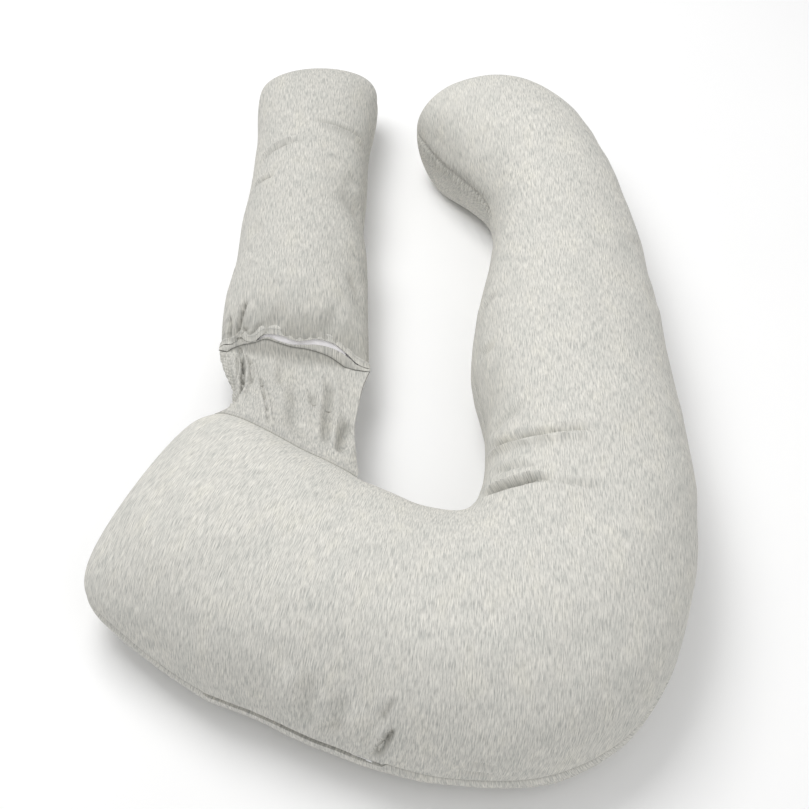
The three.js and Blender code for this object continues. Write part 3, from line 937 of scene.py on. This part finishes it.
# ---- Link panel ----
# The sewn line on the main pillow, left to right: distance along the pillow in mm, and angle over its
# upper half.
SEWN = [
    (1579, 2.78),
    (1552, 2.66),
    (1520, 2.62),
    (1480, 2.65),
    (1440, 2.70),
    (1400, 2.71),
    (1360, 2.70),
    (1329, 2.77),
]
# Creases of the panel, on its flat cloth: x in mm, and mm up from the sewn line.
PANEL_FOLDS = [
    # the deep fold beside the gathered edge, and the thinner ones that run with it
    (
        [
            (-189, 168, 0), (-186, 150, 0), (-183, 133, 0), (-182, 110, 0), (-180, 79, 0),
            (-181, 56, 0), (-187, 38, 0),
        ],
        0.0024, 0.0052, 0.5, 0.08, 0.3,
    ),
    ([(-192, 160, 0), (-189, 130, 0), (-188, 106, 0), (-191, 84, 0)], 0.0020, 0.0024, 0.5, 0.3, 0.2),
    ([(-183, 166, 0), (-175, 150, 0), (-171, 126, 0), (-171, 92, 0)], 0.0022, 0.0030, 0.5, 0.3, 0.2),
    ([(-161, 134, 0), (-156, 91, 0), (-148, 49, 0), (-142, 8, 0)], 0.0018, 0.0024, 0.5, 0.14, 0.3),
    # soft waves
    ([(-139, 180, 0), (-137, 148, 0), (-138, 120, 0)], 0.0045, 0.0024, 0.4, 0.3, 0.0),
    ([(-118, 150, 0), (-117, 90, 0), (-114, 20, 0)], 0.0075, 0.0034, 0.5, 0.3, 0.0),
    ([(-99, 146, 0), (-95, 104, 0)], 0.0045, 0.0030, 0.4, 0.3, 0.0),
    ([(-83, 184, 0), (-78, 150, 0), (-79, 90, 0), (-78, 28, 0)], 0.0050, 0.0048, 0.5, 0.2, 0.0),
    ([(-50, 122, 0), (-58, 83, 0), (-64, 26, 0)], 0.0056, 0.0060, 0.4, 0.2, 0.2),
    # the flared corner
    ([(-206, 28, 0), (-196, 36, 0), (-186, 42, 0)], 0.0026, 0.0030, 0.5, 0.35, 0.0),
]
mouth_left = bolster_shape.at(np.array(0.0), np.array(math.pi - 0.001), 1)
mouth_right = bolster_shape.at(np.array(0.0), np.array(0.001), 1)
main_top_normals = grid_normals(main_top).reshape(-1, 3)


def on_top(points):
    """Points near the main pillow's wrinkled upper cover, moved onto it."""
    flat = main_top.reshape(-1, 3)
    nearest = [np.argmin(np.sum((flat - p) ** 2, axis=1)) for p in points]
    up = main_top_normals[nearest]
    return points - up * np.sum((points - flat[nearest]) * up, axis=1, keepdims=True)


def panel_rows(u, tuck, free, climb):
    """Rows of the panel: tucked under the pillow's cover, free, then up the bolster's front."""
    sewn = spline(SEWN, 12)
    share = np.linspace(0, 1, len(sewn))
    d, phi = np.interp(u, share, sewn[:, 0]) / 1000, np.interp(u, share, sewn[:, 1])
    start = on_top(main_shape.at(d, phi, 1))
    under = on_top(main_shape.at(d, phi - 0.10, 1)) - start
    below = np.array([0, -0.0005, -0.0040])
    rows = [start + under * k / tuck + below for k in range(tuck, 0, -1)]
    end = mouth_left * (1 - u[:, None]) + mouth_right * u[:, None]
    # the ways in which the cloth leaves the sewn line and arrives at the mouth
    leave, arrive = np.array([0.072, 0.132, -0.090]), np.array([0.060, 0.110, -0.010])
    for h in np.linspace(0, 1, free):
        p = (2 * h**3 - 3 * h**2 + 1) * start + (h**3 - 2 * h**2 + h) * leave
        p = p + (3 * h**2 - 2 * h**3) * end + (h**3 - h**2) * arrive
        left_waist = max(math.sin(math.pi * h), 0) ** 0.7
        right_waist = max(math.sin(math.pi * h**0.65), 0) ** 2.2
        p[:, 0] += left_waist * (1 - u) ** 3 * 0.0130 - right_waist * u**4 * 0.0150
        rows.append(p)
    c = 2 * u - 1
    front = np.arccos(np.sign(c) * np.abs(c) ** (CROWN_POWER / 2) * 0.999)
    for k in range(1, climb + 1):
        climbed = bolster_shape.at(panel_top_distance(u) * k / climb, front, 1)
        rows.append(climbed + np.array([0, -0.0012, 0.0004]))
    return np.stack(rows)


tuck, free, climb, count_u = 4, 96, 12, 145
u_line = np.linspace(0, 1, count_u)
panel = panel_rows(u_line, tuck, free, climb)
count_v = len(panel)
v = np.clip((np.arange(count_v) - tuck) / (free - 1), -0.05, 1.0)[:, None] + np.zeros(count_u)
u = np.zeros((count_v, 1)) + u_line
for _ in range(60):  # the turn from the panel into the mouth is a soft bend
    blur = panel.copy()
    blur[1:-1] = 0.25 * panel[:-2] + 0.5 * panel[1:-1] + 0.25 * panel[2:]
    share = smooth(v[:, :, None], 0.80, 0.94)
    share[-4:] = 0
    panel = panel * (1 - share) + blur * share
panel_normals = unit(np.cross(np.gradient(panel, axis=1), np.gradient(panel, axis=0)))
along = run_along(panel)
flat_panel = np.stack([panel[:, :, 0], along - along[tuck], np.zeros_like(u)], -1)
move, dark = wrinkled(flat_panel, np.zeros_like(panel) + np.array([0, 0, 1.0]), PANEL_FOLDS)
gathered = np.exp(-((u / 0.085) ** 2)) * smooth(v, 0.12, 0.30) * smooth(1.0 - v, 0.0, 0.06)
ripple = np.sin(2 * np.pi * along / GATHER_PITCH + 2 * np.sin(v * 9))
move = move + 0.0015 * gathered * ripple
# painted shade between the gathers
dark = np.maximum(dark, 0.45 * gathered * np.clip(-ripple, 0, 1))
free_part = smooth(v, 0.02, 0.20) * smooth(1 - v, 0.0, 0.10)
roll = np.exp(-(((u - 0.095) / 0.040) ** 2)) * 0.0050 * smooth(v, 0.15, 0.4) * smooth(1 - v, 0, 0.15)
move = move + roll + lumps(panel, 0.042, 0.0042, 21.0) * free_part
inward = unit(panel[:, [-1]] - panel[:, [0]])
scallop = 0.0007 * gathered * np.sin(2 * np.pi * along / (2 * GATHER_PITCH))
panel = panel + panel_normals * move[:, :, None] + inward * scallop[:, :, None]
# Painted shade: a line along the sewn edge, and one along the top where the panel goes under the hem.
sewn_edge_shade = np.exp(-(((along - along[tuck]) / 0.0014) ** 2)) * 0.35
top_edge_shade = np.exp(-(((along[-1] - along) / 0.0020) ** 2))
panel_data = {
    "grain": flat_panel,
    "painted_shade": np.clip(np.maximum.reduce([dark, sewn_edge_shade, top_edge_shade]), 0, 1),
    "seam": np.zeros_like(panel),
}
# Each layer is cut in two between its folds.
panel_fold, mouth_fold = (Vector(j["pos_m"]) for j in frame["joints"][:2])
panel_way = Vector((0.4902, 0.8716, 0))
mouth_way = Vector((0.1836, 0.9830, 0))
split = tuck + 52
near_bend = (panel_fold - 0.004 * panel_way, panel_fold + 0.040 * panel_way)
far_bend = (mouth_fold - 0.045 * mouth_way, mouth_fold + 0.004 * mouth_way)
parts = (
    ("near", slice(0, split + 1), "main_pillow", "link_panel", near_bend, (0.190, 0.105), "main_cover_upper"),
    ("far", slice(split, count_v), "link_panel", "bolster", far_bend, (0.185, 0.100), "bolster_insert"),
)
for layer, lift, node in (("upper", 0.0020, "link_panel_top"), ("under", -0.0006, "link_panel_bottom")):
    for part, rows, a, b, bend, flat, rest in parts:
        data = {k: w[rows] for k, w in panel_data.items()}
        surface = (panel + panel_normals * lift)[rows]
        name = f"link_panel_{layer}_{part}"
        sheet = shell(name, surface, 4, SHEET_THICKNESS, jersey_panel, data, flip=True)
        if part == "near":
            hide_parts(node)
        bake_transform(sheet)

row = tuck + 2
stitches("panel_seam_stitches", panel[row] + panel_normals[row] * 0.0022, panel_normals[row], "main_pillow")
gathered_edge = (slice(tuck + 16, tuck + 93), slice(0, 9))
elastic_grid = panel[gathered_edge] + panel_normals[gathered_edge] * 0.0003
elastic = shell("link_elastic", elastic_grid, 4, 0.0006, tape_cloth, {}, flip=True)
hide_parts("link_gather_elastic")
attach(elastic, "link_panel")

# ---- Zip ----
TAPE_PLANE = -0.0052  # outwards from the seam line, so the tapes lie inside it
COIL_START = -0.0055
COIL_LENGTH = 0.195
COIL_PITCH = 0.0014
COIL_RADIUS = 0.00085
COIL_WIRE = 0.0003


def zip_coil(name, side, node):
    """A nylon coil sewn along the tape."""
    turn_steps, ring = 12, 5
    t = np.arange(int(COIL_LENGTH / COIL_PITCH) * turn_steps) / turn_steps
    line = np.stack(
        [
            COIL_START + t * COIL_PITCH,
            TAPE_PLANE + COIL_RADIUS * np.cos(2 * np.pi * t),
            side * (0.00175 - COIL_RADIUS * np.sin(2 * np.pi * t)),
        ],
        -1,
    )
    ahead = unit(np.gradient(line, axis=0))
    beside = unit(np.cross(ahead, [1.0, 0.0, 0.0]))
    over = np.cross(ahead, beside)
    a = 2 * np.pi * np.arange(ring) / ring
    ring_points = beside[:, None] * np.cos(a)[:, None] + over[:, None] * np.sin(a)[:, None]
    tube = line[:, None] + COIL_WIRE * ring_points
    basis = np.stack([ZIP_ALONG, ZIP_OUT, [0, 0, 1]])
    points = tube.reshape(-1, 3) @ basis + ZIP_START
    ids = np.arange(len(line) * ring).reshape(-1, ring)
    wrapped = np.concatenate([ids, ids[:, :1]], axis=1)
    quads = np.stack([wrapped[:-1, :-1], wrapped[:-1, 1:], wrapped[1:, 1:], wrapped[1:, :-1]], -1)
    faces = quads.reshape(-1, 4).tolist()
    faces += [ids[0].tolist()[::-1], ids[-1].tolist()]
    coil = make(name, points, faces, nylon)
    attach(coil, "main_pillow")
    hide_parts(node)


zip_coil("zip_coil_upper_loops", 1, "zip_coil_upper")
zip_coil("zip_coil_lower_loops", -1, "zip_coil_lower")
for node, material in (
    ("zip_tape_upper", tape_cloth),
    ("zip_tape_lower", tape_cloth),
    ("zip_top_stop", nylon),
    ("zip_bottom_stop", nylon),
    ("zip_slider", paint),
    ("zip_pull_tab", paint),
):
    piece = frame["nodes"][node]
    piece.data.materials.clear()
    piece.data.materials.append(material)
    if material is not tape_cloth:
        bevel = piece.modifiers.new("edges", "BEVEL")
        bevel.width, bevel.segments, bevel.limit_method = 0.0002, 2, "ANGLE"

# ---- Floor, light and camera ----
FLOOR_HALF = 4
corners = [(x * FLOOR_HALF, y * FLOOR_HALF, 0) for x, y in ((-1, -1), (1, -1), (1, 1), (-1, 1))]
floor_mesh = bpy.data.meshes.new("floor")
floor_mesh.from_pydata(corners, [], [(0, 1, 2, 3)])
floor = bpy.data.objects.new("floor", floor_mesh)
bpy.context.scene.collection.objects.link(floor)
n = Nodes("pale_floor")
grey = n.noise(n.node("TexCoord").outputs["Object"], 3, 2, 0.5)
floor.data.materials.append(
    n.finish(n.ramp(grey, [(0.3, (0.93, 0.93, 0.93)), (0.7, (0.95, 0.95, 0.95))]), None, Roughness=0.9)
)

world = bpy.data.worlds.new("soft_studio")
bpy.context.scene.world = world
world.use_nodes = True
world.node_tree.nodes["Background"].inputs["Color"].default_value = (1, 1, 1, 1)
world.node_tree.nodes["Background"].inputs["Strength"].default_value = 0.56


def area_light(name, place, target, size, energy):
    lamp = bpy.data.lights.new(name, "AREA")
    lamp.size, lamp.energy = size, energy
    holder = bpy.data.objects.new(name, lamp)
    holder.location = place
    holder.rotation_mode = "QUATERNION"
    holder.rotation_quaternion = (Vector(target) - Vector(place)).to_track_quat("-Z", "Y")
    bpy.context.scene.collection.objects.link(holder)


area_light("key", (-0.7, 0.65, 2.3), (0, -0.05, 0.1), 1.4, 37)
area_light("fill", (1.2, -1.4, 2.0), (0, 0, 0.1), 2.0, 9)

CAMERA_DISTANCE = 1.90
CAMERA_DOWN = math.radians(52)  # how steeply the camera looks down
camera = bpy.data.objects.new("camera", bpy.data.cameras.new("camera"))
bpy.context.scene.collection.objects.link(camera)
aim = Vector((PLAN[0], PLAN[1], 0.08))
camera.location = aim + CAMERA_DISTANCE * Vector((0, -math.cos(CAMERA_DOWN), math.sin(CAMERA_DOWN)))
camera.rotation_euler = (math.pi / 2 - CAMERA_DOWN, 0, 0)
camera.data.sensor_width = 36
camera.data.lens = 71.8665
camera.data.clip_start = 0.05
bpy.context.scene.camera = camera
bpy.context.scene.view_settings.view_transform = "Standard"
